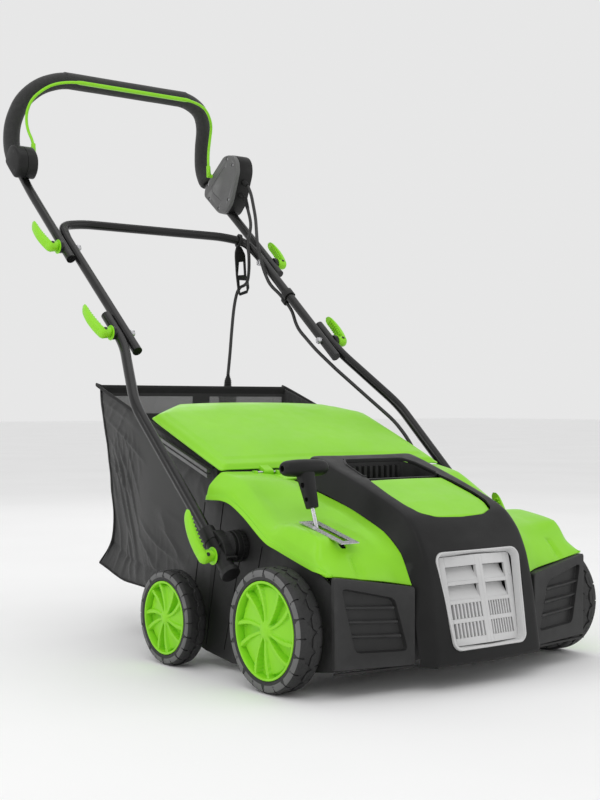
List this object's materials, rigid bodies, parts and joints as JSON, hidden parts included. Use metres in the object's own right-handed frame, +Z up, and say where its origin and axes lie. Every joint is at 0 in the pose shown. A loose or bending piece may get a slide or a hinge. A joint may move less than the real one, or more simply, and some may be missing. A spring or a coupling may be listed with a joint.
{
  "type": "lawn dethatcher",
  "caption": "Walk-behind electric lawn dethatcher with a low lime and black housing, a spring-tine drum, a rear grass bag and a folding tube handle with a switch bail.",
  "frame": {"origin": "centre of the bounding box on the ground plane", "axes": "+Z up, -Y towards the machine's front, +X towards the switch box side"},
  "size_m": [0.6754, 1.156, 1.0968],
  "materials": {
    "lime_plastic": "satin",
    "black_plastic": "satin",
    "grey_plastic": "matte",
    "silver_plastic": "satin",
    "black_tube": "gloss",
    "lime_metal": "gloss",
    "steel": "satin",
    "motor_case": "satin",
    "tyre": "matte",
    "rubber": "satin",
    "foam": "matte",
    "bag_cloth": "matte"
  },
  "bodies": {
    "chassis": {"deck_housing": "black_plastic", "hood": "lime_plastic", "centre_frame": "black_plastic", "inset_panel": "lime_plastic", "front_grille": "silver_plastic", "cheek_left": "black_plastic", "cheek_right": "black_plastic", "depth_gate_plate": "steel", "motor_housing": "motor_case", "belt_cover": "black_plastic", "drive_belt": "rubber", "rear_axle": "steel", "drum_bearing_left": "grey_plastic", "drum_bearing_right": "grey_plastic", "flap_hinge_rod": "steel", "flap_spring": "steel", "pivot_hub_left": "black_plastic", "pivot_hub_right": "black_plastic"},
    "front_axle": {"crank_axle": "steel", "depth_lever_rod": "steel", "depth_lever_grip": "black_plastic"},
    "front_wheel_left": {"front_tyre_left": "tyre", "front_rim_left": "lime_plastic"},
    "front_wheel_right": {"front_tyre_right": "tyre", "front_rim_right": "lime_plastic"},
    "rear_wheel_left": {"rear_tyre_left": "tyre", "rear_rim_left": "lime_plastic"},
    "rear_wheel_right": {"rear_tyre_right": "tyre", "rear_rim_right": "lime_plastic"},
    "tine_drum": {"tine_shaft": "steel", "tine_roller": "steel"},
    "rotor": {"motor_rotor": "steel"},
    "flap": {"rear_flap": "lime_plastic"},
    "grass_bag": {"bag_fabric": "bag_cloth", "bag_frame": "steel"},
    "lower_handle": {"tube_bracket_left": "black_plastic", "tube_bracket_right": "black_plastic", "lower_tube_left": "black_tube", "lower_tube_right": "black_tube"},
    "middle_handle": {"middle_tube": "black_tube", "cable_clip": "black_plastic", "motor_cable_lower": "rubber", "mains_cord": "rubber", "mains_plug": "rubber"},
    "upper_handle": {"upper_tube": "black_tube", "foam_grip": "foam", "switch_box": "grey_plastic", "bail_pivot_box": "black_plastic", "motor_cable_upper": "rubber"},
    "bail": {"bail_bar": "lime_metal"},
    "button": {"start_button": "lime_plastic"},
    "hook": {"cord_hook": "black_plastic"},
    "low_lever_left": {"cam_lever_low_left": "lime_plastic"},
    "low_lever_right": {"cam_lever_low_right": "lime_plastic"},
    "mid_lever_left": {"cam_lever_mid_left": "lime_plastic"},
    "mid_lever_right": {"cam_lever_mid_right": "lime_plastic"},
    "top_lever_left": {"cam_lever_top_left": "lime_plastic"},
    "top_lever_right": {"cam_lever_top_right": "lime_plastic"}
  },
  "joints": [
    {"name": "axle_crank", "type": "hinge", "parent": "chassis", "child": "front_axle", "pos_m": [0, -0.46932, 0.105], "axis": [1, 0, 0], "range_deg": [0, 26]},
    {"name": "front_wheel_left_spin", "type": "hinge", "parent": "front_axle", "child": "front_wheel_left", "pos_m": [-0.288, -0.42533, 0.09], "axis": [1, 0, 0], "continuous": true},
    {"name": "front_wheel_right_spin", "type": "hinge", "parent": "front_axle", "child": "front_wheel_right", "pos_m": [0.288, -0.42533, 0.09], "axis": [1, 0, 0], "continuous": true},
    {"name": "rear_wheel_left_spin", "type": "hinge", "parent": "chassis", "child": "rear_wheel_left", "pos_m": [-0.291, -0.15332, 0.075], "axis": [1, 0, 0], "continuous": true},
    {"name": "rear_wheel_right_spin", "type": "hinge", "parent": "chassis", "child": "rear_wheel_right", "pos_m": [0.291, -0.15332, 0.075], "axis": [1, 0, 0], "continuous": true},
    {"name": "drum_spin", "type": "hinge", "parent": "chassis", "child": "tine_drum", "pos_m": [0, -0.31033, 0.083], "axis": [1, 0, 0], "continuous": true},
    {"name": "rotor_spin", "type": "hinge", "parent": "chassis", "child": "rotor", "pos_m": [0, -0.45532, 0.186], "axis": [1, 0, 0], "continuous": true},
    {"name": "flap_lift", "type": "hinge", "parent": "chassis", "child": "flap", "pos_m": [0, -0.21782, 0.3045], "axis": [1, 0, 0], "range_deg": [0, 75], "stiffness_Nm_per_rad": 0.4, "springref_deg": -22.92, "deforming": ["flap_spring"]},
    {"name": "bag_pull", "type": "slide", "parent": "chassis", "child": "grass_bag", "axis": [0, 0.9781, 0.2079], "range_m": [0, 0.12]},
    {"name": "handle_tilt", "type": "hinge", "parent": "chassis", "child": "lower_handle", "pos_m": [0, -0.28532, 0.197], "axis": [1, 0, 0], "range_deg": [-11, 50], "deforming": ["motor_cable_lower"]},
    {"name": "middle_fold", "type": "hinge", "parent": "lower_handle", "child": "middle_handle", "pos_m": [0, 0.10926, 0.54124], "axis": [1, 0, 0], "range_deg": [0, 132]},
    {"name": "upper_fold", "type": "hinge", "parent": "middle_handle", "child": "upper_handle", "pos_m": [0, 0.31137, 0.71264], "axis": [1, 0, 0], "range_deg": [-130, 0], "deforming": ["motor_cable_upper", "mains_cord"]},
    {"name": "bail_squeeze", "type": "hinge", "parent": "upper_handle", "child": "bail", "pos_m": [0, 0.50267, 0.921], "axis": [-1, 0, 0], "range_deg": [0, 5], "stiffness_Nm_per_rad": 1, "springref_deg": -17.19},
    {"name": "button_press", "type": "slide", "parent": "upper_handle", "child": "button", "axis": [-1, 0, 0], "range_m": [0, 0.004], "stiffness_N_per_m": 300, "springref_m": -0.002},
    {"name": "hook_swing", "type": "hinge", "parent": "middle_handle", "child": "hook", "pos_m": [0.203, 0.37357, 0.7641], "axis": [0.9643, -0.2143, -0.1558], "range_deg": [-10, 10]},
    {"name": "low_lever_left_open", "type": "hinge", "parent": "lower_handle", "child": "low_lever_left", "pos_m": [-0.3172, -0.29157, 0.18539], "axis": [0, -0.8829, 0.4695], "range_deg": [0, 95]},
    {"name": "mid_lever_left_open", "type": "hinge", "parent": "lower_handle", "child": "mid_lever_left", "pos_m": [-0.2665, 0.10926, 0.54124], "axis": [0, -0.6468, 0.7627], "range_deg": [0, 95]},
    {"name": "top_lever_left_open", "type": "hinge", "parent": "upper_handle", "child": "top_lever_left", "pos_m": [-0.2665, 0.31137, 0.71264], "axis": [0, -0.6468, 0.7627], "range_deg": [0, 95]},
    {"name": "low_lever_right_open", "type": "hinge", "parent": "lower_handle", "child": "low_lever_right", "pos_m": [0.3172, -0.29157, 0.18539], "axis": [0, 0.8829, -0.4695], "range_deg": [0, 95]},
    {"name": "mid_lever_right_open", "type": "hinge", "parent": "lower_handle", "child": "mid_lever_right", "pos_m": [0.2665, 0.10926, 0.54124], "axis": [0, 0.6468, -0.7627], "range_deg": [0, 95]},
    {"name": "top_lever_right_open", "type": "hinge", "parent": "upper_handle", "child": "top_lever_right", "pos_m": [0.2665, 0.31137, 0.71264], "axis": [0, 0.6468, -0.7627], "range_deg": [0, 95]}
  ],
  "couplings": [
    {"joint": "rotor_spin", "follows": "drum_spin", "ratio": 2}
  ]
}
